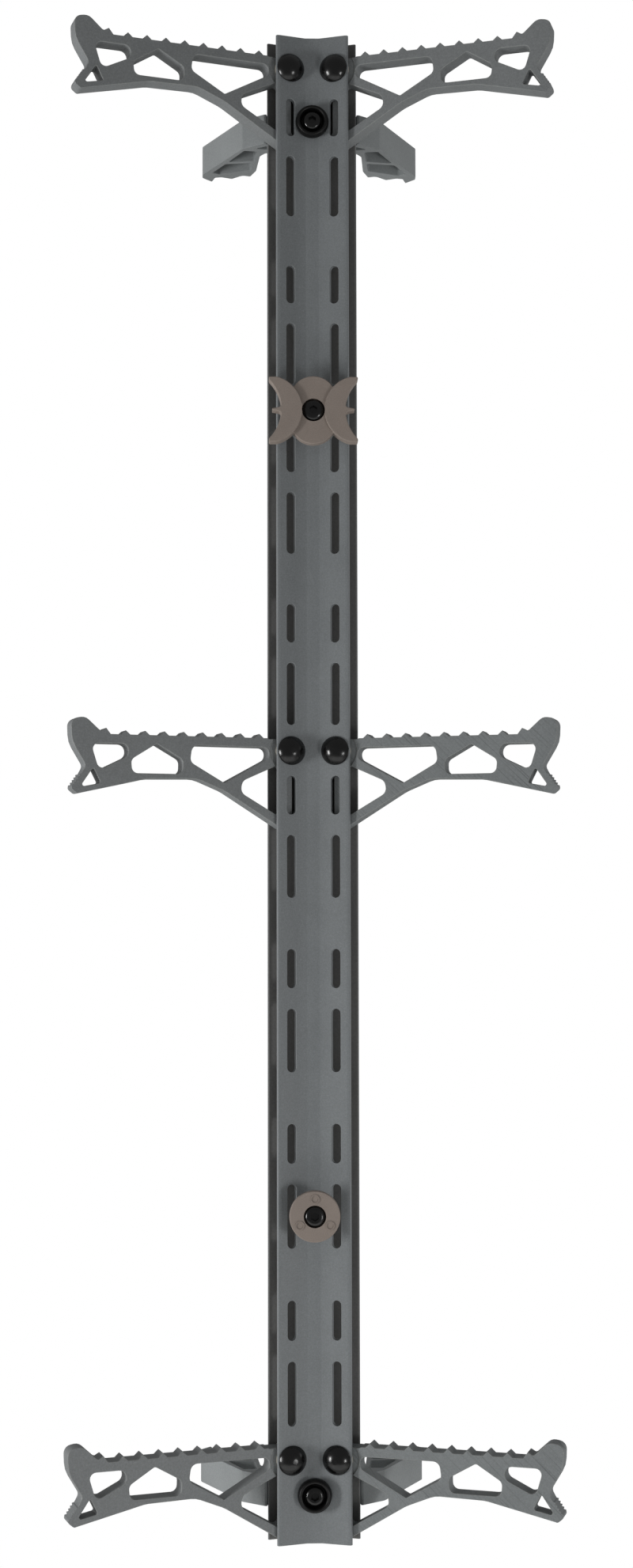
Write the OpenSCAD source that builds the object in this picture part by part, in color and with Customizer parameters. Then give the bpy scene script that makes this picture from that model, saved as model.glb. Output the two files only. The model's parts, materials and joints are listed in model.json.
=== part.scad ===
// Climbing stick: an extruded post with six folding truss steps, two toothed standoff brackets that
// hold it off a trunk, a rope cleat and a strap button.
// +X is the climber's right, +Y points into the trunk and +Z is up. The origin lies on the trunk, in
// the plane of the bracket teeth, halfway between the two bracket screws.

/* [Post] */
// Length of the extruded post
post_len = 813; // [810:1:900]
// Distance from the trunk to the foremost plane of the post
stand_off = 77; // [77:1:90]
// Tilt of each front and rear flange away from the middle, in degrees
flange_tilt = 18; // [15:0.5:18]
// Wall thickness of the flanges
flange_t = 3; // [2.5:0.1:3.2]
// Clear gap between the front and rear flanges, where the steps fold
gap = 10.4; // [10.4:0.1:11]
// Half width of the front flanges
front_half_w = 19.85; // [19.5:0.05:21]
// Half width of the rear flanges
rear_half_w = 24.6; // [24:0.1:24.8]

/* [Slots] */
// Distance from one pair of slots to the next pair down the post
slot_pitch = 93; // [92:0.5:94]
// Length of the short slots, end to end
short_slot = 20.9; // [18:0.1:22]
// Length of the long slots, end to end
long_slot = 33.7; // [30:0.1:35]
// Width of every slot
slot_w = 5; // [4.4:0.1:5.2]
// Distance of the middle of the first short slot below the top of the post
short_drop = 45.4; // [45:0.1:46]
// Distance of the middle of the first long slot below the top of the post
long_drop = 83.7; // [83:0.1:84]
// Number of short and of long slots down each side
slot_count = 8; // [1:1:8]

/* [Steps] */
// Height between two levels of steps
step_pitch = 375.7; // [370:0.5:380]
// Distance of the top pivots below the top of the post
top_drop = 17.8; // [17:0.1:20]
// Distance of each pivot from the middle of the post
pivot_x = 11.8; // [11.5:0.1:12]
// Thickness of a step casting
step_t = 9.8; // [9.4:0.1:9.8]
// Distance between two teeth on the tread
tooth_pitch = 10.55; // [10:0.05:10.6]
// Depth of the seat for the thrust washer in each face of a step
seat_depth = 0.7; // [0.5:0.1:0.8]

/* [Standoff brackets] */
// Height of a bracket, along the post
bracket_h = 16.5; // [14:0.5:17]
// Distance of the top bracket screw below the top of the post
bracket_drop = 48; // [47:0.5:50]
// Distance between the two bracket screws
bracket_span = 739.4; // [735:0.1:740]

/* [Accessories] */
// Distance of the rope cleat below the top of the post
cleat_drop = 211; // [205:1:215]
// Distance of the strap button below the top of the post
button_drop = 640.2; // [636:0.2:650]
// Gap between the post and the underside of the cleat and of the button
rope_gap = 6.6; // [6:0.1:8]

/* [Hidden] */
$fn = 64;

// Colours of the finishes
PAINT = "#5d6366";
CASTING = "#676c6e";
TAUPE = "#736860";
BLACK = "#1b1b1d";
STEEL = "#a9acb0";
NYLON = "#e6e2d6";

// Heights of the post, its pivots and its screws
post_top = bracket_drop + bracket_span / 2;
post_bottom = post_top - post_len;
levels = [for (i = [0:2]) post_top - top_drop - i * step_pitch];
bracket_levels = [post_top - bracket_drop, post_top - bracket_drop - bracket_span];
cleat_z = post_top - cleat_drop;
button_z = post_top - button_drop;

// The post's section: a trough floor and a back strip joined by two webs, with a front and a rear flange
// on each side. Depth is measured back from the foremost plane, and n is the distance behind the front
// face of a flange, square to it.
trough_x = 3.8;
apex_x = 18.6;
web_x = 4.8;
channel_x = 3.4;
rear_n = flange_t + gap;
back_n = rear_n + flange_t;
function depth(x, n = 0) = (apex_x - x) * tan(flange_tilt) + n / cos(flange_tilt);
trough_y = depth(trough_x);
back_y = depth(trough_x, back_n);

// Fasteners: M6 throughout
shank_r = 3;
hole_r = 3.1;
running = 0.05;
nut_af = 10;
nut_t = 5;
washer_h = 1.2;
socket_af = 4;
socket_deep = 2.4;
// Ease between faces that are clamped together, and reach of a thread from the face under its nut
nest = 0.05;
behind_nut = nest + nut_t + 1.5;

// Depth of the back of a bracket at its middle
bracket_back = 28.4;

// Cup washers: depth of the underside, and heights above it
cup_y = 3.1;
cup_web = 1.2;
cup_h = 4.6;

// Cleat and button: thickness, depth of the recess for the screw head, and radius of the hub
cleat_t = 5.4;
cleat_sink = 3.4;
cleat_hub_r = 9;
button_t = 4.6;
button_sink = 3.2;
button_neck_r = 6.8;

// Steps
lobe_r = 6.3;
bush_r = 4;
seat_r = 11;
tread_w = 6.7;
tooth_h = 2.3;
tooth_n = 9;
tooth_foot = 2.5;
first_tooth = 17;
rib_n = 5;
rib_out = 0.75;
face_n = flange_t + (gap - step_t) / 2;
seat_n = face_n + seat_depth;

// ---- outlines ----

function unit(v) = v / norm(v);
function wrap(a) = a > 180 ? a - 360 : a < -180 ? a + 360 : a;

// Points of the arc of radius r that rounds corner p between its neighbours a and b
function corner(a, p, b, r, turn = 18) =
    r == 0 ? [p] :
    let (u = unit(a - p), v = unit(b - p), half = acos(u * v) / 2,
         c = p + unit(u + v) * r / sin(half),
         s = p + u * r / tan(half) - c, e = p + v * r / tan(half) - c,
         from = atan2(s.y, s.x), sweep = wrap(atan2(e.y, e.x) - from),
         steps = ceil(abs(sweep) / turn))
    [for (i = [0:steps]) c + r * [cos(from + sweep * i / steps), sin(from + sweep * i / steps)]];

// Outline whose corners are given as [x, y, radius]
function rounded(pts) =
    [for (i = [0:len(pts) - 1])
        let (a = pts[(i + len(pts) - 1) % len(pts)], p = pts[i], b = pts[(i + 1) % len(pts)])
        each corner([a.x, a.y], [p.x, p.y], [b.x, b.y], p[2])];

// The same rounding along an open run, whose two end points stay as they are
function rounded_run(pts) =
    concat([[pts[0].x, pts[0].y]],
        [for (i = [1:len(pts) - 2])
            each corner([pts[i - 1].x, pts[i - 1].y], [pts[i].x, pts[i].y],
                        [pts[i + 1].x, pts[i + 1].y], pts[i][2])],
        [[pts[len(pts) - 1].x, pts[len(pts) - 1].y]]);

function mirrored(half) = concat(half, [for (i = [len(half) - 1:-1:0]) [-half[i].x, half[i].y]]);

// ---- placing ----

module at_side(side) {
    if (side < 0) mirror([1, 0, 0]) children();
    else children();
}

// Puts children at a pivot: their X runs out along the step, Y goes up, and Z comes out of the flange
module at_pivot(side, z, n = 0) {
    at_side(side)
        translate([pivot_x, depth(pivot_x) - stand_off, z])
            rotate([90, 0, -flange_tilt])
                translate([0, 0, -n])
                    children();
}

// Puts children on the middle of the post: their Z points at the climber, from a depth behind the front
module at_middle(z, y = 0) {
    translate([0, y - stand_off, z])
        rotate([90, 0, 0])
            children();
}

module each_pivot() {
    for (z = levels, side = [-1, 1])
        at_pivot(side, z) children();
}

module ring(outer, inner, height) {
    difference() {
        cylinder(r = outer, h = height);
        translate([0, 0, -1]) cylinder(r = inner, h = height + 2);
    }
}

module hex_nut() {
    difference() {
        cylinder(d = nut_af / cos(30), h = nut_t, $fn = 6);
        translate([0, 0, -1]) cylinder(r = shank_r + running, h = nut_t + 2);
    }
}

// ---- post ----

module extruded() {
    translate([0, -stand_off, post_bottom])
        linear_extrude(post_len) children();
}

// Middle strip between two depths, with a hole for each middle screw
module middle_strip(front_y, rear_y) {
    color(PAINT)
        difference() {
            extruded()
                translate([-trough_x, front_y]) square([2 * trough_x, rear_y - front_y]);
            for (z = concat(bracket_levels, [cleat_z, button_z]))
                at_middle(z, back_y + 1) cylinder(r = hole_r, h = back_y + 2);
        }
}

module post_floor() {
    middle_strip(trough_y, depth(trough_x, flange_t));
}

module post_back() {
    middle_strip(depth(trough_x, rear_n), back_y);
}

module post_webs() {
    color(PAINT)
        extruded()
            for (side = [-1, 1])
                at_side(side)
                    polygon([[channel_x, depth(trough_x, flange_t)], [trough_x, depth(trough_x, flange_t)],
                        [web_x, depth(web_x, flange_t)], [web_x, depth(web_x, rear_n)],
                        [trough_x, depth(trough_x, rear_n)], [channel_x, depth(trough_x, rear_n)]]);
}

module slot(length) {
    for (end = [-1, 1])
        translate([0, end * (length - slot_w) / 2, -flange_t - 1])
            cylinder(d = slot_w, h = flange_t + 2);
    translate([-slot_w / 2, -(length - slot_w) / 2, -flange_t - 1])
        cube([slot_w, length - slot_w, flange_t + 2]);
}

module pivot_holes(side) {
    for (z = levels)
        at_pivot(side, z, back_n + 1) cylinder(r = hole_r, h = back_n + 2);
}

// Front flange, with a lip along its outer edge
module post_flange(side) {
    color(PAINT)
        difference() {
            extruded()
                at_side(side)
                    polygon(rounded_run([[trough_x, trough_y], [17.5, depth(17.5), 2], [19.1, 0.1, 0.8],
                        [front_half_w, 1, 0.8], [front_half_w, depth(front_half_w, flange_t), 0.8],
                        [trough_x, depth(trough_x, flange_t)]]));
            for (i = [0:slot_count - 1]) {
                at_pivot(side, post_top - short_drop - i * slot_pitch) slot(short_slot);
                at_pivot(side, post_top - long_drop - i * slot_pitch) slot(long_slot);
            }
            pivot_holes(side);
        }
}

module post_rear(side) {
    color(PAINT)
        difference() {
            extruded()
                at_side(side)
                    polygon(rounded_run([[trough_x, depth(trough_x, rear_n)],
                        [rear_half_w, depth(rear_half_w, rear_n), 0.9],
                        [rear_half_w, depth(rear_half_w, back_n), 0.9], [trough_x, back_y]]));
            pivot_holes(side);
        }
}

// ---- steps ----

// Ribs down the outer edge of the heel, from the neck to the lower tip
function heel_ribs() = [for (i = [0:rib_n - 1], top = [0, 1]) let (t = (i + top * 0.45) / rib_n)
    [114.6 + 4.7 * t + top * rib_out, -14.4 - 7 * t + top * rib_out / 2, 0]];

// Teeth along the tread: the last one is taller and runs straight into the horn
function tooth(i, last) = let (u = first_tooth + i * tooth_pitch, tip = tread_w + tooth_h + (last ? 1 : 0))
    [[u - tooth_foot, tread_w, 0], [u, tip, 0.4], [u + tooth_foot, last ? tip - 1.4 : tread_w, 0]];

function step_outline() = rounded(concat(
    [[-lobe_r, -8, 0], [-lobe_r, lobe_r, lobe_r - 0.1], [11.6, lobe_r, 0], [12, tread_w, 0]],
    [for (i = [0:tooth_n - 1]) each tooth(i, i == tooth_n - 1)],
    [[104.8, 8.6, 2], [112.6, 15.7, 5], [120.4, 14.4, 4.2], [119.9, 2.6, 14], [112.3, -10, 3]],
    heel_ribs(),
    [[119.9, -22.2, 1.7], [116.8, -24.8, 2], [90, -18.9, 8], [79, -16.4, 12], [52, -15.9, 14],
        [36.6, -22.2, 16], [2.6, -43.1, 2.4], [-8, -43.3, 0.8], [-8, -38, 0.8],
        [-1.6, -36, 2.5], [-1.6, -12, 3]]));

module step_windows() {
    // long triangle under the tread
    polygon(rounded([[11.2, 1.7, 3.4], [54.4, 1.9, 3.8], [55.6, -7, 3.6], [36.6, -17.9, 0.9],
        [11.8, -4.4, 3.5]]));
    // middle house
    polygon(rounded([[74, 2.2, 1.6], [59.6, -6, 3.4], [59.8, -13.6, 3.3], [87.2, -13.6, 3.3],
        [87.9, -6.4, 3.4]]));
    // outer window
    polygon(rounded([[89.6, 1.9, 3.8], [109.6, 1.9, 3.2], [105.2, -12.4, 3.2], [89.2, -4.6, 3.8]]));
    // small triangle in the heel
    polygon(rounded([[108.3, -11, 0.7], [104.2, -19.1, 1], [115.3, -21.3, 1]]));
    // open triangle beside the post
    polygon(rounded([[4.4, -6.8, 2], [26.4, -16.6, 4.2], [27.5, -22.8, 4.2], [4.4, -36.2, 2.4]]));
}

module step(side, z) {
    color(CASTING)
        at_pivot(side, z, face_n + step_t)
            difference() {
                linear_extrude(step_t)
                    difference() {
                        polygon(step_outline());
                        step_windows();
                        circle(r = bush_r);
                    }
                for (face = [-1, step_t - seat_depth])
                    translate([0, 0, face]) cylinder(r = seat_r, h = seat_depth + 1);
            }
}

module bush(side, z) {
    color(STEEL)
        at_pivot(side, z, face_n + step_t - seat_depth)
            ring(bush_r, shank_r + running, step_t - 2 * seat_depth);
}

module pivot_bolt(side, z) {
    head_r = 7.75;
    head_h = 5;
    rim = 0.7;
    flat_r = 1;
    dome_h = head_h - rim;
    dome_r = (head_r * head_r + dome_h * dome_h) / (2 * dome_h);
    dome = [for (i = [0:7]) let (a = asin(head_r / dome_r) * (1 - i / 8))
        [dome_r * sin(a), head_h - dome_r + dome_r * cos(a)]];
    shank_len = back_n + washer_h + nut_t + 1;
    color(BLACK)
        at_pivot(side, z)
            rotate_extrude()
                polygon(concat([[0, -shank_len], [shank_r, -shank_len], [shank_r, 0], [head_r, 0]], dome,
                    [[flat_r, head_h - 0.05], [0, head_h - 0.05]]));
}

module pivot_nuts() {
    color(BLACK)
        each_pivot() translate([0, 0, -back_n - washer_h - nut_t]) hex_nut();
}

module pivot_nut_washers() {
    color(BLACK)
        each_pivot() translate([0, 0, -back_n - washer_h]) ring(6, hole_r, washer_h);
}

module thrust_washers() {
    washer_t = seat_n - flange_t - 0.1;
    color(NYLON)
        each_pivot()
            for (n = [flange_t + washer_t, rear_n])
                translate([0, 0, -n]) ring(7.6, shank_r + 0.2, washer_t);
}

// ---- standoff brackets ----

// The rear flanges nest in the front of the bracket, between two lips that stop it from turning
function bracket_half() =
    rounded_run([[trough_x, back_y + nest],
        [rear_half_w + 0.2, depth(rear_half_w + 0.2, back_n) + nest, 0.4],
        [rear_half_w + 0.2, 13.2, 0.5], [26.2, 13.2, 0.9], [38.4, 22.3, 3], [61.4, 65, 2.5],
        [61.6, 70.6, 2], [56.3, stand_off, 0.5], [54.2, 70, 0.8], [50.6, 69.2, 2], [44.6, 71.9, 1.2],
        [38.4, 66, 3], [34, 67.6, 0.8], [30.6, 58, 4], [28.5, 34, 6], [25.4, bracket_back + 0.6, 2.5],
        [12, bracket_back]]);

module bracket_pockets() {
    // outer and inner pocket of the wing, with a rib between them
    polygon(rounded([[55.4, 61.4, 1], [47.9, 47.1, 1], [32.2, 44.4, 1.2], [33.6, 57, 2], [51.6, 64.2, 2]]));
    polygon(rounded([[46.4, 44, 1], [37.3, 25.4, 1], [30, 26.2, 1.4], [31.6, 41.4, 1.2]]));
    // slit behind the rear flange
    polygon(rounded([[31, 21.9, 0.6], [25.2, 18.1, 0.5], [10.5, 22.8, 0.3], [10.5, 24.2, 0.3],
        [25.2, 22.8, 1]]));
}

module standoff(z) {
    color(PAINT)
        difference() {
            translate([0, -stand_off, z - bracket_h / 2])
                linear_extrude(bracket_h)
                    difference() {
                        polygon(mirrored(bracket_half()));
                        bracket_pockets();
                        mirror([1, 0, 0]) bracket_pockets();
                    }
            at_middle(z, 40) cylinder(r = hole_r, h = 40);
        }
}

// ---- middle screws ----

// Button-head screw with its underside at one depth and the end of its thread at another
module button_screw_at(z, seat_y, end_y, head_r, head_h) {
    rim_h = head_h * 0.35;
    crown_r = head_r * 0.62;
    color(BLACK)
        at_middle(z, seat_y)
            difference() {
                union() {
                    cylinder(r = head_r, h = rim_h);
                    translate([0, 0, rim_h]) cylinder(r1 = head_r, r2 = crown_r, h = head_h - rim_h);
                    translate([0, 0, seat_y - end_y]) cylinder(r = shank_r, h = end_y - seat_y + rim_h);
                }
                translate([0, 0, head_h - socket_deep])
                    cylinder(d = socket_af / cos(30), h = socket_deep + 1, $fn = 6);
            }
}

// Cup with a raised rim that holds the screw head off the trough
module cup_washer(z) {
    color(BLACK)
        at_middle(z, cup_y)
            rotate_extrude()
                polygon([[hole_r, -1.6], [3.7, -1.6], [3.7, 0], [8.4, 0], [9.1, 0.8], [8.9, 2.6],
                    [8.2, cup_h - 0.3], [7.5, cup_h], [6.8, cup_h - 0.3], [5.6, cup_web],
                    [hole_r, cup_web]]);
}

module bracket_screw(z) {
    button_screw_at(z, cup_y - cup_web - nest, bracket_back + behind_nut, 5.2, 3.3);
}

// ---- accessories ----

// Hub that stands on the facets, with a key in the trough, and holds an accessory off the post
module hub(r) {
    key_w = 2 * (trough_x - 0.1);
    key_h = 1.4 * r;
    key_depth = trough_y - 0.1;
    base = depth(r) - nest;
    translate([0, 0, -base]) cylinder(r = r, h = base + rope_gap + 1);
    translate([-key_w / 2, -key_h / 2, -key_depth]) cube([key_w, key_h, key_depth]);
}

// Horned wing with a hooked outer edge and a barb that pinches the rope
module cleat_wing() {
    difference() {
        intersection() {
            translate([24.2, 0]) circle(r = 18.3);
            translate([0, -17.7]) square([23.9, 35.4]);
        }
        translate([39.8, 0]) circle(r = 22.5);
    }
    polygon(rounded([[15, -3.2, 0], [18.6, -1.1, 2], [22.1, -0.5, 0.4], [22.1, 0.5, 0.4], [18.6, 1.1, 2],
        [15, 3.2, 0]]));
}

// Outline with straight sides and round ends of radius r, from middle to middle of which is twice run
function round_ended(r, run) = [for (end = [0, 180], a = [end:6:end + 180])
    [r * cos(a), r * sin(a) + (end == 0 ? run : -run)]];

module rope_cleat() {
    wing_t = cleat_t + 1.8;
    color(TAUPE)
        at_middle(cleat_z)
            difference() {
                union() {
                    hub(cleat_hub_r);
                    translate([0, 0, rope_gap])
                        linear_extrude(cleat_t)
                            polygon(round_ended(12.5, 5.9));
                    for (side = [-1, 1])
                        at_side(side)
                            translate([0, 0, rope_gap])
                                linear_extrude(wing_t)
                                    cleat_wing();
                }
                translate([0, 0, -trough_y]) cylinder(r = hole_r, h = trough_y + rope_gap + wing_t);
                translate([0, 0, rope_gap + cleat_t - cleat_sink]) cylinder(r = 6.2, h = wing_t);
            }
}

module cleat_screw() {
    button_screw_at(cleat_z, cleat_sink - cleat_t - rope_gap - nest, back_y + behind_nut, 6, 4);
}

module strap_button() {
    mark_at = 9.2;
    mark_h = 0.35;
    color(TAUPE)
        at_middle(button_z)
            difference() {
                union() {
                    hub(button_neck_r);
                    translate([0, 0, rope_gap]) cylinder(r = 13.4, h = button_t);
                    for (a = [90, 210, 330])
                        translate([mark_at * cos(a), mark_at * sin(a), rope_gap + button_t])
                            ring(2.4, 1.8, mark_h);
                }
                translate([0, 0, -trough_y]) cylinder(r = hole_r, h = trough_y + rope_gap + button_t);
                translate([0, 0, rope_gap + button_t - button_sink]) cylinder(r = 5.9, h = button_t);
            }
}

module button_screw() {
    button_screw_at(button_z, button_sink - button_t - rope_gap - nest, back_y + behind_nut, 5.7, 3.6);
}

// Nuts behind the two brackets, the cleat and the button
module rear_nuts() {
    color(BLACK) {
        for (z = bracket_levels)
            at_middle(z, bracket_back + nest + nut_t) hex_nut();
        for (z = [cleat_z, button_z])
            at_middle(z, back_y + nest + nut_t) hex_nut();
    }
}

post_floor();
post_back();
post_webs();
post_flange(-1);  // post_flange_left
post_flange(1);  // post_flange_right
post_rear(-1);  // post_rear_left
post_rear(1);  // post_rear_right
step(-1, levels[0]);  // step_top_left
step(1, levels[0]);  // step_top_right
step(-1, levels[1]);  // step_mid_left
step(1, levels[1]);  // step_mid_right
step(-1, levels[2]);  // step_low_left
step(1, levels[2]);  // step_low_right
bush(-1, levels[0]);  // bush_top_left
bush(1, levels[0]);  // bush_top_right
bush(-1, levels[1]);  // bush_mid_left
bush(1, levels[1]);  // bush_mid_right
bush(-1, levels[2]);  // bush_low_left
bush(1, levels[2]);  // bush_low_right
pivot_bolt(-1, levels[0]);  // pivot_bolt_top_left
pivot_bolt(1, levels[0]);  // pivot_bolt_top_right
pivot_bolt(-1, levels[1]);  // pivot_bolt_mid_left
pivot_bolt(1, levels[1]);  // pivot_bolt_mid_right
pivot_bolt(-1, levels[2]);  // pivot_bolt_low_left
pivot_bolt(1, levels[2]);  // pivot_bolt_low_right
pivot_nuts();
pivot_nut_washers();
thrust_washers();
standoff(bracket_levels[0]);  // standoff_top
standoff(bracket_levels[1]);  // standoff_low
bracket_screw(bracket_levels[0]);  // bracket_screw_top
bracket_screw(bracket_levels[1]);  // bracket_screw_low
cup_washer(bracket_levels[0]);  // cup_washer_top
cup_washer(bracket_levels[1]);  // cup_washer_low
rope_cleat();
cleat_screw();
strap_button();
button_screw();
rear_nuts();
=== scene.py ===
"""Looks of a climbing stick: powder-coated post and brackets, cast folding steps, black hardware
and two moulded nylon fittings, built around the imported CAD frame, with its camera and its light."""

import json
import logging
import math
from collections.abc import Callable
from dataclasses import dataclass, field
from enum import Enum

import bmesh
import bpy
from mathutils import Euler, Matrix, Vector


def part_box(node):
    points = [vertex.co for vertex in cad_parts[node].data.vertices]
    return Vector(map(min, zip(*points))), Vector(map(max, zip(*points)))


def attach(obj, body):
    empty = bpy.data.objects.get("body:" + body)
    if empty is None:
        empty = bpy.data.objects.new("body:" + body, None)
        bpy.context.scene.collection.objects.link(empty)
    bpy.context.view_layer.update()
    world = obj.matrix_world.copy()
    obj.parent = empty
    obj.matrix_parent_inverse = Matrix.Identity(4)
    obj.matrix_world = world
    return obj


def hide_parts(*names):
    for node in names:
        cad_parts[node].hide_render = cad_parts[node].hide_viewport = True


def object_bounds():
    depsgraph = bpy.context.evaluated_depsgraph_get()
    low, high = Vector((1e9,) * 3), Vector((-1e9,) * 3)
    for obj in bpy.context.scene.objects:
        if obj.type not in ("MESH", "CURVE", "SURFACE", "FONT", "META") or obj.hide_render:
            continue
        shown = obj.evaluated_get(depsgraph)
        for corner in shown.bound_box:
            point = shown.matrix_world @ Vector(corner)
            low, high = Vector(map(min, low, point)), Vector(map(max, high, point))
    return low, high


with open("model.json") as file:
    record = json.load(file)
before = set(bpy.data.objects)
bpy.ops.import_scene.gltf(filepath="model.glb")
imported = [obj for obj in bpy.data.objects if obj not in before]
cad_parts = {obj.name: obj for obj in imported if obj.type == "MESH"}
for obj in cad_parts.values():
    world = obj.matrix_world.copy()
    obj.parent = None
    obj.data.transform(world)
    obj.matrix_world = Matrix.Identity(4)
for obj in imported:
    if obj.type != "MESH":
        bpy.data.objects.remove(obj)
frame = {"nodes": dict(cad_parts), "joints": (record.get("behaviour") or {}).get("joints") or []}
CAD_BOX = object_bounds()

LOG = logging.getLogger("climbing_stick")
MM = 0.001
SocketValue = float | tuple[float, ...] | bpy.types.NodeSocket

# Cosines that tell the same direction, roughly the same direction, and roughly a right angle
ALONG = 0.99
TOWARDS = 0.9
ACROSS = 0.3
# Millimetres within which doubled points merge, and degrees within which faces count as one flat face
MERGE_WITHIN = 0.004
FLAT_WITHIN = 0.4
# Smoothing angles in degrees: for flat-sided pieces, for curved ones and for domes
FLAT_SIDED = 35.0
CURVED = 40.0
DOMED = 50.0


# ---- finishes -------------------------------------------------------------------------------

# Where in a noise, from 0 to 1, a speck of metal, a ground line and a chip begin and are full
SPECK_BAND = (0.58, 0.72)
LINE_BAND = (0.56, 0.7)
CHIP_BAND = (0.6, 0.68)
# Changes of the roughness at the glossiest and at the dullest spots
ROUGH_SPREAD = (-0.05, 0.06)
# Octaves of finer noise in specks, in grain and chips, and in the cloudy mottle
SPECK_OCTAVES = 1.0
GRAIN_OCTAVES = 3.0
MOTTLE_OCTAVES = 4.0
# Strength of each octave against the one before, and size of the specks against the grain
OCTAVE_STRENGTH = 0.55
SPECK_TO_GRAIN = 0.8


def to_linear(hex_colour: str) -> tuple[float, float, float, float]:
    """Turns an sRGB hex colour into a linear colour with full alpha.

    Args:
        hex_colour: six hex digits, with or without a leading hash.

    Returns:
        Linear red, green, blue and alpha.
    """
    digits = hex_colour.lstrip("#")
    channels = [int(digits[i:i + 2], 16) / 255 for i in (0, 2, 4)]
    linear = [c / 12.92 if c <= 0.04045 else ((c + 0.055) / 1.055) ** 2.4 for c in channels]
    return linear[0], linear[1], linear[2], 1.0


def add_node(tree: bpy.types.NodeTree, kind: str, inputs: dict[str | int, SocketValue],
             **settings: str | float | bool) -> bpy.types.Node:
    """Adds one shader node with its settings, its input values and its links.

    Args:
        tree: node tree that the node joins.
        kind: Blender's name of the node type.
        inputs: value, or the socket that feeds it, for each named or numbered input.
        **settings: properties of the node itself.

    Returns:
        The new node.
    """
    node = tree.nodes.new(kind)
    for name, setting in settings.items():
        setattr(node, name, setting)
    for key, value in inputs.items():
        if isinstance(value, bpy.types.NodeSocket):
            tree.links.new(value, node.inputs[key])
        else:
            node.inputs[key].default_value = value
    return node


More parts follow.
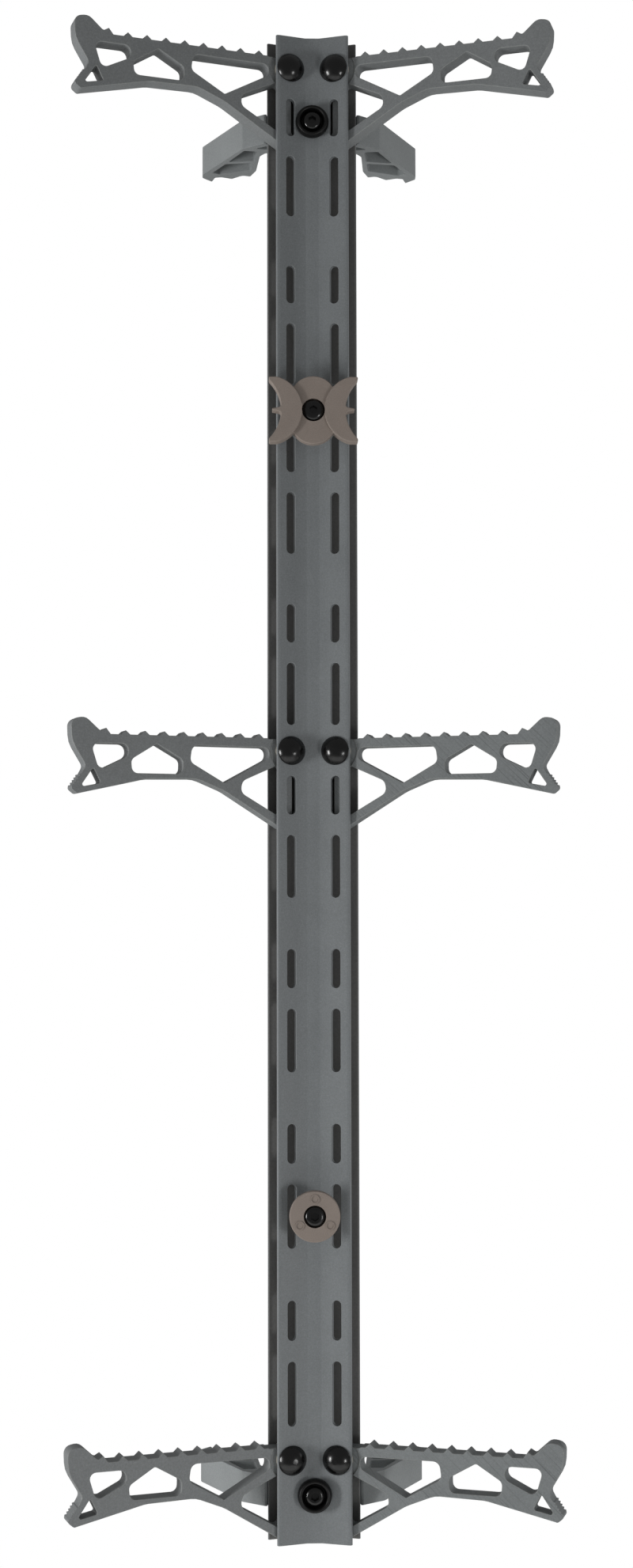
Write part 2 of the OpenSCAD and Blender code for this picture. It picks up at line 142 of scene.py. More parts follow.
@dataclass(frozen=True)
class Finish:
    """A surface finish: one procedural material on Object coordinates, with sizes in millimetres.

    Real powder and mould grain is a few tenths of a millimetre across or finer, which is too fine to show, so
    every grain is drawn coarser than it is. Ground lines are widened in the same way.
    """

    name: str
    colour: str
    roughness: float
    metallic: float = 0.0
    specular: float = 0.5
    grain: float = 0.9
    grain_depth: float = 0.03
    grain_tint: float = 0.08
    mottle: float = 22.0
    mottle_tint: float = 0.05
    fleck: float = 0.0
    fleck_colour: str = "#b9bec0"
    scratch: float = 0.0
    scratch_turn: float = 0.0
    scratch_width: float = 0.45
    scratch_length: float = 40.0
    scratch_colour: str = "#8b8d8e"

    def noise(self, tree: bpy.types.NodeTree, place: bpy.types.NodeSocket, size: float,
              detail: float = 2.0) -> bpy.types.NodeSocket:
        """Adds a noise whose features are about size millimetres across.

        Args:
            tree: node tree to add to.
            place: socket with the Object coordinates.
            size: feature size in millimetres.
            detail: octaves of finer noise.

        Returns:
            The noise's factor socket.
        """
        made = add_node(tree, "ShaderNodeTexNoise",
                        {"Vector": place, "Scale": 1 / (size * MM), "Detail": detail,
                         "Roughness": OCTAVE_STRENGTH})
        return made.outputs["Fac"]

    def spread(self, tree: bpy.types.NodeTree, source: bpy.types.NodeSocket, low: float, high: float,
               start: float = 0.3, stop: float = 0.7) -> bpy.types.NodeSocket:
        """Maps a factor from start..stop to low..high, held at both ends.

        Args:
            tree: node tree to add to.
            source: factor to map.
            low: result at start.
            high: result at stop.
            start: factor that gives low.
            stop: factor that gives high.

        Returns:
            The mapped socket.
        """
        made = add_node(tree, "ShaderNodeMapRange",
                        {"Value": source, "From Min": start, "From Max": stop, "To Min": low, "To Max": high})
        return made.outputs["Result"]

    def blend(self, tree: bpy.types.NodeTree, mode: str, factor: SocketValue, base: SocketValue,
              other: SocketValue) -> bpy.types.NodeSocket:
        """Mixes two colours in one of the mix modes.

        Args:
            tree: node tree to add to.
            mode: Blender's name of the mode, such as MIX or MULTIPLY.
            factor: amount of the second colour.
            base: first colour.
            other: second colour.

        Returns:
            The mixed colour.
        """
        made = add_node(tree, "ShaderNodeMixRGB", {"Fac": factor, "Color1": base, "Color2": other},
                        blend_type=mode)
        return made.outputs["Color"]

    def material(self) -> bpy.types.Material:
        """Returns the finish as a material, made once and then shared."""
        found = bpy.data.materials.get(self.name)
        if found is not None:
            return found
        made = bpy.data.materials.new(self.name)
        made.use_nodes = True
        tree = made.node_tree
        tree.nodes.clear()
        place = add_node(tree, "ShaderNodeTexCoord", {}).outputs["Object"]
        colour, height = self.surface(tree, place)
        glossier, duller = (self.roughness + change for change in ROUGH_SPREAD)
        rough = self.spread(tree, self.noise(tree, place, self.mottle), glossier, duller)
        bump = add_node(tree, "ShaderNodeBump", {"Height": height, "Distance": self.grain_depth * MM,
                                                 "Strength": 1.0})
        shader = add_node(tree, "ShaderNodeBsdfPrincipled",
                          {"Base Color": colour, "Roughness": rough, "Normal": bump.outputs["Normal"],
                           "Metallic": self.metallic, "Specular IOR Level": self.specular})
        add_node(tree, "ShaderNodeOutputMaterial", {"Surface": shader.outputs["BSDF"]})
        return made

    def surface(self, tree: bpy.types.NodeTree,
                place: bpy.types.NodeSocket) -> tuple[bpy.types.NodeSocket, bpy.types.NodeSocket]:
        """Builds the colour and the bump height that all finishes share.

        Args:
            tree: node tree to add to.
            place: socket with the Object coordinates.

        Returns:
            The colour socket and the height socket.
        """
        grain = self.noise(tree, place, self.grain, GRAIN_OCTAVES)
        height = grain
        tint = self.spread(tree, grain, 1 - self.grain_tint, 1 + self.grain_tint)
        clouds = self.noise(tree, place, self.mottle, MOTTLE_OCTAVES)
        cloud = self.spread(tree, clouds, 1 - self.mottle_tint, 1 + self.mottle_tint)
        both = add_node(tree, "ShaderNodeMath", {0: tint, 1: cloud}, operation="MULTIPLY").outputs[0]
        shade = add_node(tree, "ShaderNodeCombineColor", {"Red": both, "Green": both, "Blue": both})
        colour = self.blend(tree, "MULTIPLY", 1.0, to_linear(self.colour), shade.outputs["Color"])
        if self.fleck:
            fine = self.noise(tree, place, self.grain * SPECK_TO_GRAIN, SPECK_OCTAVES)
            speck = self.spread(tree, fine, 0.0, self.fleck, *SPECK_BAND)
            colour = self.blend(tree, "MIX", speck, colour, to_linear(self.fleck_colour))
        if self.scratch:
            length = self.scratch_length * MM
            turned = add_node(tree, "ShaderNodeMapping",
                              {"Vector": place, "Rotation": (0.0, self.scratch_turn, 0.0),
                               "Scale": (self.scratch_width * MM, length, length)}, vector_type="TEXTURE")
            line = add_node(tree, "ShaderNodeTexNoise",
                            {"Vector": turned.outputs["Vector"], "Scale": 1.0, "Detail": 2.0}).outputs["Fac"]
            mark = self.spread(tree, line, 0.0, self.scratch, *LINE_BAND)
            colour = self.blend(tree, "MULTIPLY", mark, colour, to_linear(self.scratch_colour))
            height = add_node(tree, "ShaderNodeMath", {0: height, 1: mark}, operation="SUBTRACT").outputs[0]
        return colour, height


@dataclass(frozen=True)
class WornFinish(Finish):
    """A finish whose coat is rubbed thin and chipped, for edges that get knocked."""

    nick_size: float = 2.2
    nick_share: float = 0.5
    bare_colour: str = "#a5a7a4"

    def surface(self, tree: bpy.types.NodeTree,
                place: bpy.types.NodeSocket) -> tuple[bpy.types.NodeSocket, bpy.types.NodeSocket]:
        """Adds rubbed and chipped spots of bare metal to the plain finish.

        Args:
            tree: node tree to add to.
            place: socket with the Object coordinates.

        Returns:
            The colour socket and the height socket.
        """
        colour, height = super().surface(tree, place)
        patch = self.noise(tree, place, self.nick_size, GRAIN_OCTAVES)
        chip = self.spread(tree, patch, 0.0, self.nick_share, *CHIP_BAND)
        return self.blend(tree, "MIX", chip, colour, to_linear(self.bare_colour)), height


# Powder-coated aluminium extrusion: satin grey with the fine pebble and metal fleck of baked powder
POST_COAT = Finish("powder-coated_aluminium", "#797d7f", 0.52, grain=0.8, grain_tint=0.1, fleck=0.1)
# The same coat along sawn and machined edges, rubbed lighter
POST_EDGE = WornFinish("powder-coated_aluminium_rubbed", "#828687", 0.45, grain=0.8, nick_share=0.25)
# Sawn brackets: the same powder, painted a little lighter as painted light on faces that catch the side
# lights
LIT_BRACKET_COAT = Finish("powder-coated_bracket_painted_light", "#8b8f90", 0.5, grain=0.8, grain_tint=0.1, fleck=0.08)
# Inside of the side channels: the same coat, painted a little darker as painted shade, and duller
SHADED_CHANNEL_COAT = Finish("powder-coated_aluminium_painted_shade", "#6f6f6e", 0.7, grain=1.2, specular=0.25)
# Cast aluminium steps under powder coat: a coarser pebble over the casting skin
CAST_COAT = Finish("powder-coated_cast_aluminium", "#7c7f80", 0.56, grain=0.9, grain_depth=0.04,
                   grain_tint=0.12, fleck=0.08)
# The same casting, belt ground before coating, with fine lines across the face
GROUND_COAT = Finish("powder-coated_ground_casting", "#7a7e7f", 0.54, grain=0.9, grain_depth=0.04,
                     grain_tint=0.1, fleck=0.06, scratch=0.45, scratch_turn=math.radians(-45))
# Rounded edges of the castings, with small bright nicks
CAST_EDGE = WornFinish("powder-coated_cast_edge", "#858887", 0.5, grain=0.9, nick_share=0.5)
# Black oxide steel bolts: smooth and satin, with a little soft sheen
BLACK_OXIDE = Finish("black_oxide_steel", "#070707", 0.22, specular=0.5, grain=0.5, grain_depth=0.004,
                     grain_tint=0.1, mottle=6.0)
# Moulded black washer cups: duller than the steel
BLACK_MOULDED = Finish("black_moulded_nylon", "#080808", 0.4, specular=0.3, grain=0.4, grain_depth=0.01)
# Taupe glass-filled nylon: even colour with a very fine matt mould grain
TAUPE_NYLON = Finish("moulded_taupe_nylon", "#8e837b", 0.6, specular=0.35, grain=0.45, grain_depth=0.03,
                     grain_tint=0.1, mottle=15.0, mottle_tint=0.04)
# Turned steel bushes and natural nylon thrust washers
TURNED_STEEL = Finish("turned_steel", "#a7aaad", 0.35, metallic=1.0, grain=0.3, grain_depth=0.005)
NATURAL_NYLON = Finish("natural_nylon", "#d9d4c6", 0.5, grain=0.8, grain_depth=0.01, grain_tint=0.03)
# Matt white paper of the studio floor: no grain that shows
WHITE_PAPER = Finish("matt_white_paper", "#f6f6f4", 0.9, specular=0.1, grain_tint=0.0, mottle_tint=0.0,
                     grain_depth=0.0)


# ---- bench work -----------------------------------------------------------------------------


class Bench:
    """Modelling steps on one mesh at a time, as done by hand in object and edit mode."""

    @staticmethod
    def only(piece: bpy.types.Object) -> None:
        """Selects one object and nothing else."""
        bpy.ops.object.select_all(action="DESELECT")
        piece.select_set(True)
        bpy.context.view_layer.objects.active = piece

    @staticmethod
    def twin(model: bpy.types.Object, name: str) -> bpy.types.Object:
        """Copies an object, with a mesh of its own.

        Args:
            model: object to copy.
            name: name of the copy.

        Returns:
            The copy.
        """
        piece = bpy.data.objects.new(name, model.data.copy())
        bpy.context.scene.collection.objects.link(piece)
        return piece

    @staticmethod
    def copy_of(node: str, name: str) -> bpy.types.Object:
        """Copies a CAD node's mesh, merges its loose triangles and joins its flat faces.

        Args:
            node: name of the CAD node.
            name: name of the new piece.

        Returns:
            The new piece.
        """
        piece = Bench.twin(frame["nodes"][node], name)
        piece.data.materials.clear()
        Bench.flatten(piece)
        return piece

    @staticmethod
    def select_edges(piece: bpy.types.Object, wanted: Callable[[bmesh.types.BMEdge], bool]) -> int:
        """Enters edit mode with only the wanted edges selected.

        Args:
            piece: mesh to work on.
            wanted: test that picks an edge.

        Returns:
            How many edges were picked.
        """
        Bench.only(piece)
        bpy.ops.object.mode_set(mode="EDIT")
        bpy.ops.mesh.select_mode(type="EDGE")
        bpy.ops.mesh.select_all(action="DESELECT")
        mesh = bmesh.from_edit_mesh(piece.data)
        picked = [e for e in mesh.edges if len(e.link_faces) == 2 and wanted(e)]
        for edge in picked:
            edge.select_set(True)
        bmesh.update_edit_mesh(piece.data)
        return len(picked)

    @staticmethod
    def round_over(piece: bpy.types.Object, wanted: Callable[[bmesh.types.BMEdge], bool], radius: float,
                   segments: int = 2, slot: int = 0) -> None:
        """Rounds the wanted edges.

        Args:
            piece: mesh to work on.
            wanted: test that picks an edge.
            radius: width of the round in metres.
            segments: facets across the round.
            slot: material slot that the round takes.
        """
        if Bench.select_edges(piece, wanted):
            bpy.ops.mesh.bevel(offset=radius, segments=segments, profile=0.5, affect="EDGES",
                               clamp_overlap=False, material=slot, loop_slide=False)
        bpy.ops.object.mode_set(mode="OBJECT")

    @staticmethod
    def combine(piece: bpy.types.Object, other: bpy.types.Object, operation: str) -> None:
        """Joins another piece to this one, or cuts it away, and uses the other one up.

        Args:
            piece: piece that stays.
            other: piece that is joined or cut away.
            operation: UNION or DIFFERENCE.
        """
        Bench.only(piece)
        work = piece.modifiers.new("Combine", "BOOLEAN")
        work.operation = operation
        work.solver = "EXACT"
        work.object = other
        bpy.ops.object.modifier_apply(modifier=work.name)
        bpy.data.objects.remove(other)

    @staticmethod
    def flatten(piece: bpy.types.Object) -> None:
        """Merges doubled points and joins the triangles of each flat face."""
        Bench.only(piece)
        bpy.ops.object.mode_set(mode="EDIT")
        bpy.ops.mesh.select_all(action="SELECT")
        bpy.ops.mesh.remove_doubles(threshold=MERGE_WITHIN * MM)
        bpy.ops.mesh.dissolve_limited(angle_limit=math.radians(FLAT_WITHIN))
        bpy.ops.object.mode_set(mode="OBJECT")

    @staticmethod
    def smooth(piece: bpy.types.Object, angle: float = FLAT_SIDED) -> None:
        """Shades smooth below an angle in degrees and lets the large faces keep their flatness."""
        Bench.only(piece)
        bpy.ops.object.shade_smooth_by_angle(angle=math.radians(angle))
        weigh = piece.modifiers.new("Flat faces first", "WEIGHTED_NORMAL")
        weigh.keep_sharp = True
        bpy.ops.object.modifier_apply(modifier=weigh.name)

    @staticmethod
    def dress(piece: bpy.types.Object, *finishes: Finish) -> None:
        """Gives a piece its finishes, one material slot each."""
        piece.data.materials.clear()
        for finish in finishes:
            piece.data.materials.append(finish.material())

    @staticmethod
    def place(piece: bpy.types.Object, base: Vector, out: Vector) -> None:
        """Moves a piece built on the origin so that its Z axis points out from a base point.

        Args:
            piece: piece whose own origin is its seat.
            base: point that the seat goes to.
            out: direction that the piece's Z axis takes.
        """
        piece.matrix_world = Matrix.Translation(base) @ out.to_track_quat("Z", "Y").to_matrix().to_4x4()
        Bench.only(piece)
        bpy.ops.object.transform_apply(location=True, rotation=True, scale=True)

    @staticmethod
    def ring_up(sizes: list[tuple[float, float]], facets: int, name: str) -> bpy.types.Object:
        """Makes a solid of stacked rings: a disc is added, then its top is extruded and scaled ring by ring.

        Args:
            sizes: radius and height of each ring in millimetres, from the bottom outwards and up.
            facets: sides of each ring.
            name: name of the new piece.

        Returns:
            The new piece, standing on the origin.
        """
        first_r, first_z = sizes[0]
        bpy.ops.object.select_all(action="DESELECT")
        bpy.ops.mesh.primitive_circle_add(vertices=facets, radius=first_r * MM, fill_type="NGON",
                                          location=(0, 0, first_z * MM))
        piece = bpy.context.object
        piece.name = name
        Bench.only(piece)
        bpy.ops.object.transform_apply(location=True, rotation=True, scale=True)
        bpy.ops.object.mode_set(mode="EDIT")
        bpy.ops.mesh.select_mode(type="FACE")
        bpy.ops.mesh.select_all(action="SELECT")
        last_r, last_z = first_r, first_z
        for radius, height in sizes[1:]:
            bpy.ops.mesh.extrude_region_move(TRANSFORM_OT_translate={"value": (0, 0, (height - last_z) * MM)})
            grow = radius / last_r
            bpy.ops.transform.resize(value=(grow, grow, 1), center_override=(0, 0, height * MM))
            last_r, last_z = radius, height
        bpy.ops.mesh.select_all(action="SELECT")
        bpy.ops.mesh.normals_make_consistent(inside=False)
        bpy.ops.object.mode_set(mode="OBJECT")
        return piece

    @staticmethod
    def hand_over(piece: bpy.types.Object, body: str, slot: str, *nodes: str) -> None:
        """Puts a finished piece on its body and in place of its CAD nodes."""
        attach(piece, body)
        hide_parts(*nodes)
        LOG.info("%s: %d faces", piece.name, len(piece.data.polygons))


def crease(edge: bmesh.types.BMEdge) -> float:
    """Returns the angle between an edge's two faces in degrees."""
    return math.degrees(edge.calc_face_angle(0.0))


# ---- sub-assemblies -------------------------------------------------------------------------


class Side(Enum):
    """Left or right half of the stick, as the climber sees it."""

    LEFT = "left"
    RIGHT = "right"


class Level(Enum):
    """Height of a pair of steps."""

    TOP = "top"
    MID = "mid"
    LOW = "low"


@dataclass
class Pivot:
    """One hinge of a step: where its bolt sits on the front flange, and which way it points.

    The flange is the thickness of the front wall, and the gap is the channel behind it, in millimetres.
    """

    side: Side
    level: Level
    flange: float = 3.0
    gap: float = 10.4
    joint: dict = field(init=False)

    def __post_init__(self) -> None:
        """Finds the hinge among the frame's joints."""
        self.joint = next(j for j in frame["joints"] if j["name"] == f"fold_{self.label()}")

    def label(self) -> str:
        """Returns the level and side, as the node names spell them."""
        return f"{self.level.value}_{self.side.value}"

    def out(self) -> Vector:
        """Returns the unit direction from the flange towards the climber."""
        axis = Vector(self.joint["axis"]).normalized()
        return axis if axis.y < 0 else -axis

    def seat(self) -> Vector:
        """Returns the point on the front face of the flange where the bolt head sits."""
        return Vector(self.joint["pos_m"]) + self.out() * (self.flange + self.gap / 2) * MM


@dataclass
class Post:
    """The extruded post, with rounded slot rims, and side channels that are duller and painted darker as
    painted shade.
    """

    rim: float = 0.18
    sharp: float = 60.0
    lead: float = 0.1
    slack: float = 0.4
    nodes: tuple[str, ...] = ("post_floor", "post_flange_left", "post_flange_right", "post_webs", "post_back",
                              "post_rear_left", "post_rear_right")

    def in_channel(self, face: bpy.types.MeshPolygon, pivot: Pivot) -> bool:
        """Tells whether a face looks into a side channel, between the front and rear flanges.

        Args:
            face: face of the post.
            pivot: any right-hand pivot, which gives the tilt of the flanges.

        Returns:
            True for the walls of the channel.
        """
        centre = Vector((abs(face.center.x), face.center.y, pivot.seat().z))
        behind = (pivot.seat() - centre).dot(pivot.out()) / MM
        return pivot.flange - self.lead < behind < pivot.flange + pivot.gap + self.slack

    def build(self) -> None:
        """Makes the post."""
        piece = Bench.copy_of(self.nodes[0], "Post")
        for node in self.nodes[1:]:
            Bench.combine(piece, Bench.copy_of(node, "Strip"), "UNION")
        Bench.flatten(piece)
        Bench.dress(piece, POST_COAT, POST_EDGE, SHADED_CHANNEL_COAT)
        Bench.round_over(piece, lambda e: crease(e) > self.sharp, self.rim * MM, slot=1)
        pivot = Pivot(Side.RIGHT, Level.MID)
        # Faces inside the side channels take the coat painted darker, as painted shade
        for face in piece.data.polygons:
            if self.in_channel(face, pivot):
                face.material_index = 2
        Bench.smooth(piece)
        Bench.hand_over(piece, "post", "post_paint", *self.nodes)


@dataclass
class Step:
    """A folding step: a cast truss with rounded rims."""

    pivot: Pivot
    rim: float = 0.36
    ribs_from: float = 114.2
    ribs_under: float = -14.0

    def is_rim(self, edge: bmesh.types.BMEdge) -> bool:
        """Tells whether an edge runs round one of the two flat faces, clear of the ribs on the heel."""
        across = [abs(face.normal.dot(self.pivot.out())) for face in edge.link_faces]
        offset = (edge.verts[0].co + edge.verts[1].co) / 2 - self.pivot.seat()
        ribbed = Vector((offset.x, offset.y)).length > self.ribs_from * MM and offset.z < self.ribs_under * MM
        return max(across) > ALONG and min(across) < ACROSS and not ribbed

    def build(self) -> None:
        """Makes the step and gives its bush a turned finish."""
        label = self.pivot.label()
        piece = Bench.copy_of(f"step_{label}", f"Step_{label}")
        ground = self.pivot.side is Side.RIGHT and self.pivot.level is not Level.TOP
        Bench.dress(piece, GROUND_COAT if ground else CAST_COAT, CAST_EDGE)
        Bench.round_over(piece, self.is_rim, self.rim * MM, segments=3, slot=1)
        Bench.smooth(piece)
        Bench.hand_over(piece, f"step_{label}", "step_paint", f"step_{label}")
        Bench.dress(frame["nodes"][f"bush_{label}"], TURNED_STEEL)


@dataclass
class PivotBolt:
    """A pivot bolt with a smooth domed head, modelled once and copied to each pivot."""

    head_r: float = 7.75
    head_h: float = 5.0
    rim: float = 0.7
    edge: float = 0.35
    soften: float = 0.1
    shank_r: float = 3.0
    shank_len: float = 23.6
    chamfer: float = 0.5
    rings: int = 9
    facets: int = 48

    def profile(self) -> list[tuple[float, float]]:
        """Returns the bolt's rings, from the shank's end to the crown."""
        rise = self.head_h - self.rim
        dome_r = (self.head_r ** 2 + rise ** 2) / (2 * rise)
        widest = math.asin(self.head_r / dome_r)
        shank = [(self.shank_r - self.chamfer, -self.shank_len),
                 (self.shank_r, self.chamfer - self.shank_len), (self.shank_r, 0.0),
                 (self.head_r - self.edge, 0.0), (self.head_r - self.soften, self.soften),
                 (self.head_r, self.edge)]
        dome = []
        for ring in range(self.rings):
            turn = widest * (1 - ring / self.rings)
            dome.append((dome_r * math.sin(turn), self.head_h - dome_r + dome_r * math.cos(turn)))
        return shank + dome

    def model(self) -> bpy.types.Object:
        """Returns a bolt on the origin, to copy from."""
        return Bench.ring_up(self.profile(), self.facets, "Pivot_bolt")

    def fit(self, model: bpy.types.Object, pivot: Pivot) -> None:
        """Fits a copy of the model to one pivot.

        Args:
            model: bolt on the origin.
            pivot: hinge that the copy goes through.
        """
        label = pivot.label()
        piece = Bench.twin(model, f"Pivot_bolt_{label}")
        Bench.place(piece, pivot.seat(), pivot.out())
        Bench.dress(piece, BLACK_OXIDE)
        Bench.smooth(piece, DOMED)
        Bench.hand_over(piece, "post", "black_steel", f"pivot_bolt_{label}")


@dataclass
class Bracket:
    """A standoff bracket, sawn from an extrusion."""

    node: str
    rim: float = 0.35

    def is_sawn_rim(self, edge: bmesh.types.BMEdge) -> bool:
        """Tells whether an edge runs round one of the two sawn ends."""
        upright = [abs(face.normal.z) for face in edge.link_faces]
        return max(upright) > ALONG and min(upright) < ACROSS

    def build(self) -> None:
        """Makes the bracket."""
        piece = Bench.copy_of(self.node, self.node.capitalize())
        # The bracket coat is painted lighter, as painted light on faces that catch the side lights
        Bench.dress(piece, LIT_BRACKET_COAT, POST_EDGE)
        Bench.round_over(piece, self.is_sawn_rim, self.rim * MM, slot=1)
        Bench.smooth(piece)
        Bench.hand_over(piece, "post", "bracket_paint", self.node)


@dataclass
class Moulding:
    """A moulded nylon fitting, its corners and front rim rounded outside inner_r and in front of the post."""

    node: str
    inner_r: float
    rim: float = 0.5
    tip: float = 0.7
    front: float = 8.0
    corner: float = 40.0

    def is_outside(self, edge: bmesh.types.BMEdge) -> bool:
        """Tells whether an edge lies outside the recess and its marks, in front of the post."""
        low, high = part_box(self.node)
        middle = (edge.verts[0].co + edge.verts[1].co) / 2
        out = Vector((middle.x, middle.z - (low.z + high.z) / 2)).length
        return out > self.inner_r * MM and middle.y < low.y + self.front * MM

    def is_tip(self, edge: bmesh.types.BMEdge) -> bool:
        """Tells whether an edge runs back along a horn's corner."""
        along = (edge.verts[0].co - edge.verts[1].co).normalized()
        return abs(along.y) > ALONG and crease(edge) > self.corner and self.is_outside(edge)

    def is_rim(self, edge: bmesh.types.BMEdge) -> bool:
        """Tells whether an edge runs round the front face."""
        facing = [face.normal.y for face in edge.link_faces]
        turned = min(facing) < -TOWARDS and abs(max(facing)) < ACROSS
        return turned and edge.is_convex and self.is_outside(edge)

    def build(self) -> None:
        """Makes the fitting."""
        piece = Bench.copy_of(self.node, self.node.capitalize())
        Bench.dress(piece, TAUPE_NYLON)
        Bench.round_over(piece, self.is_tip, self.tip * MM, segments=3)
        Bench.round_over(piece, self.is_rim, self.rim * MM, segments=3)
        Bench.smooth(piece, CURVED)
        Bench.hand_over(piece, "post", "taupe_nylon", self.node)


@dataclass
class SocketScrew:
    """A button-head screw with a domed head and a hexagonal socket."""

    node: str
    head_r: float
    head_h: float
    length: float
    shank_r: float = 3.0
    chamfer: float = 0.5
    edge: float = 0.3
    rim_share: float = 0.3
    crown_r: float = 2.9
    socket_af: float = 4.0
    socket_deep: float = 2.3
    facets: int = 48

    def profile(self) -> list[tuple[float, float]]:
        """Returns the screw's rings, from the thread's end to the crown."""
        rim_h = self.head_h * self.rim_share
        shoulder = [(self.shank_r - self.chamfer, -self.length), (self.shank_r, self.chamfer - self.length),
                    (self.shank_r, 0.0), (self.head_r - self.edge, 0.0), (self.head_r, self.edge),
                    (self.head_r, rim_h)]
        dome = []
        for degrees in range(15, 91, 15):
            turn = math.radians(degrees)
            dome.append((self.crown_r + (self.head_r - self.crown_r) * math.cos(turn),
                         rim_h + (self.head_h - rim_h) * math.sin(turn)))
        return shoulder + dome

    def model(self) -> bpy.types.Object:
        """Returns a screw on the origin with its socket cut, to copy from."""
        piece = Bench.ring_up(self.profile(), self.facets, "Socket_screw")
        bpy.ops.object.select_all(action="DESELECT")
        corner_r = self.socket_af / 2 / math.cos(math.radians(30))
        bpy.ops.mesh.primitive_cylinder_add(vertices=6, radius=corner_r * MM, depth=2 * self.socket_deep * MM,
                                            location=(0, 0, self.head_h * MM))
        Bench.combine(piece, bpy.context.object, "DIFFERENCE")
        return piece

    def build(self, model: bpy.types.Object) -> None:
        """Makes the screw as a copy of a model.

        Args:
            model: screw of the same sizes, on the origin.
        """
        low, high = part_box(self.node)
        seat = Vector((0, low.y + self.head_h * MM, (low.z + high.z) / 2))
        piece = Bench.twin(model, self.node.capitalize())
        Bench.dress(piece, BLACK_OXIDE)
        Bench.place(piece, seat, Vector((0, -1, 0)))
        Bench.smooth(piece, CURVED)
        Bench.hand_over(piece, "post", "black_steel", self.node)


# Nodes of equal screws, with the head's radius, the head's height and the length under it in millimetres
SOCKET_SCREWS = (
    (("bracket_screw_top", "bracket_screw_low"), 5.2, 3.3, 32.0),
    (("cleat_screw",), 6.0, 4.0, 36.0),
    (("button_screw",), 5.7, 3.6, 36.0),
)


@dataclass
class SmallHardware:
    """Nuts and cup washers: the CAD shapes with their sharp edges broken."""

    node: str
    finish: Finish
    rim: float = 0.18
    sharp: float = 28.0

    def build(self) -> None:
        """Makes the fasteners of one CAD node."""
        piece = Bench.copy_of(self.node, self.node.capitalize())
        Bench.dress(piece, self.finish)
        Bench.round_over(piece, lambda e: crease(e) > self.sharp, self.rim * MM)
        Bench.smooth(piece, CURVED)
        Bench.hand_over(piece, "post", "black_steel", self.node)


# ---- studio ---------------------------------------------------------------------------------


@dataclass
class Camera:
    """A 50 mm lens that looks slightly up, from a little left of the post; millimetres and degrees."""

    back: float = 1166.8
    left: float = 31.8
    above_foot: float = 330.0
    pitch: float = 3.5
    yaw: float = 1.64
    roll: float = -0.12
    lens: float = 50.0

    def build(self) -> None:
        """Sets the camera up in front of the post."""
        low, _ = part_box("post_flange_left")
        data = bpy.data.cameras.new("Camera")
        data.lens = self.lens
        data.clip_start = 0.05
        camera = bpy.data.objects.new("Camera", data)
        camera.location = (-self.left * MM, low.y - self.back * MM, low.z + self.above_foot * MM)
        turn = Euler((math.radians(90 + self.pitch), 0, math.radians(-self.yaw))).to_matrix()
        camera.rotation_euler = (turn @ Matrix.Rotation(math.radians(self.roll), 3, "Z")).to_euler()
        bpy.context.scene.collection.objects.link(camera)
        bpy.context.scene.camera = camera


@dataclass
class Softbox:
    """One rectangular studio light, in metres."""

    name: str
    place: tuple[float, float, float]
    size: tuple[float, float]
    watts: float
    aim: tuple[float, float, float] = (0.0, -0.05, 0.0)

    def build(self) -> None:
        """Hangs the light and turns it to its aim."""
        data = bpy.data.lights.new(self.name, "AREA")
        data.shape = "RECTANGLE"
        data.size, data.size_y = self.size
        data.energy = self.watts
        light = bpy.data.objects.new(self.name, data)
        light.location = self.place
        light.rotation_euler = (Vector(self.aim) - Vector(self.place)).to_track_quat("-Z", "Y").to_euler()
        bpy.context.scene.collection.objects.link(light)


SOFTBOXES = (
    Softbox("Left softbox", place=(-1.55, -0.75, -0.28), size=(0.26, 0.6), watts=14),
    Softbox("Right softbox", place=(1.0, -1.25, -0.5), size=(0.22, 0.36), watts=4.2),
    Softbox("Left side panel", place=(-1.7, 0.5, 0.1), size=(1.2, 1.6), watts=6),
    Softbox("Right side panel", place=(1.75, 0.15, -0.1), size=(0.8, 1.4), watts=6),
    Softbox("Bounce off the floor", place=(0.0, -0.55, -0.97), size=(1.4, 0.9), watts=2.2,
            aim=(0.0, -0.4, 0.5)),
)


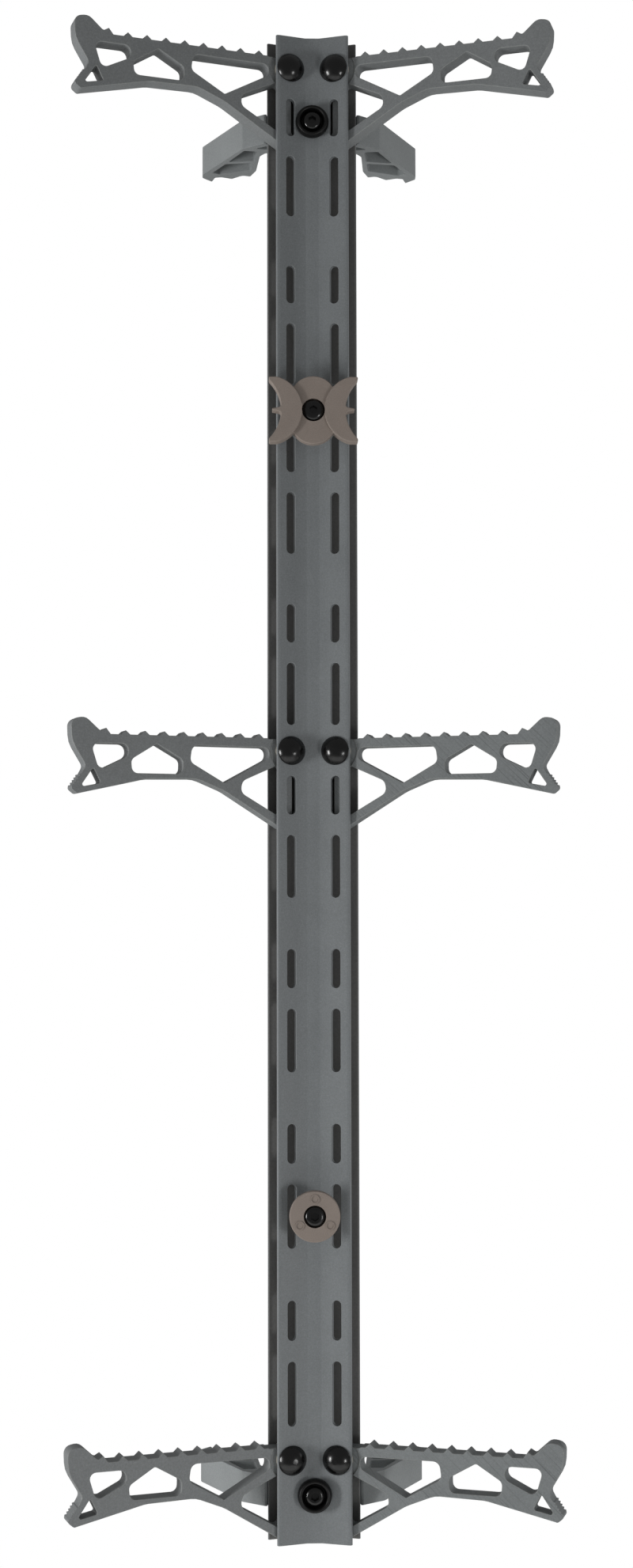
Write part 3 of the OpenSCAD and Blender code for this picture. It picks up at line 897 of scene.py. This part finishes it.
@dataclass
class Studio:
    """Pale floor, white backdrop, two softboxes in front, a soft panel at each side and one below."""

    floor_drop: float = 0.6
    floor_half: float = 1.5
    ambient: float = 0.24

    def floor(self) -> None:
        """Lays a pale matt floor well below the hanging stick."""
        bpy.ops.object.select_all(action="DESELECT")
        bpy.ops.mesh.primitive_plane_add(size=2 * self.floor_half)
        piece = bpy.context.object
        piece.name = "Floor"
        low, _ = CAD_BOX
        piece.location = (0, 0, low.z - self.floor_drop)
        Bench.dress(piece, WHITE_PAPER)

    def backdrop(self) -> None:
        """Makes the surroundings: white to look at, and a soft grey for the light that they give."""
        world = bpy.data.worlds.new("Studio")
        world.use_nodes = True
        tree = world.node_tree
        tree.nodes.clear()
        soft = add_node(tree, "ShaderNodeBackground", {"Color": (1, 1, 1, 1), "Strength": self.ambient})
        white = add_node(tree, "ShaderNodeBackground", {"Color": (1, 1, 1, 1), "Strength": 1.0})
        seen = add_node(tree, "ShaderNodeLightPath", {}).outputs["Is Camera Ray"]
        both = add_node(tree, "ShaderNodeMixShader",
                        {0: seen, 1: soft.outputs["Background"], 2: white.outputs["Background"]})
        add_node(tree, "ShaderNodeOutputWorld", {"Surface": both.outputs["Shader"]})
        bpy.context.scene.world = world

    def build(self) -> None:
        """Builds the whole studio."""
        self.floor()
        self.backdrop()
        bpy.context.scene.view_settings.view_transform = "Standard"
        for softbox in SOFTBOXES:
            softbox.build()


# ---- assembly -------------------------------------------------------------------------------


def main() -> None:
    """Builds every piece in order, then the studio."""
    logging.basicConfig(level=logging.INFO, format="%(name)s %(message)s")
    Camera().build()
    Post().build()
    bolt = PivotBolt()
    bolt_model = bolt.model()
    for level in Level:
        for side in Side:
            pivot = Pivot(side, level)
            Step(pivot).build()
            bolt.fit(bolt_model, pivot)
    bpy.data.objects.remove(bolt_model)
    for node in ("standoff_top", "standoff_low"):
        Bracket(node).build()
    Moulding("rope_cleat", inner_r=7.0).build()
    Moulding("strap_button", inner_r=12.0).build()
    for nodes, head_r, head_h, length in SOCKET_SCREWS:
        screws = [SocketScrew(node, head_r, head_h, length) for node in nodes]
        screw_model = screws[0].model()
        for screw in screws:
            screw.build(screw_model)
        bpy.data.objects.remove(screw_model)
    for node in ("pivot_nuts", "rear_nuts"):
        SmallHardware(node, BLACK_OXIDE).build()
    for node in ("cup_washer_top", "cup_washer_low"):
        SmallHardware(node, BLACK_MOULDED).build()
    Bench.dress(frame["nodes"]["thrust_washers"], NATURAL_NYLON)
    Bench.dress(frame["nodes"]["pivot_nut_washers"], BLACK_OXIDE)
    Studio().build()


if __name__ == "__main__":
    main()
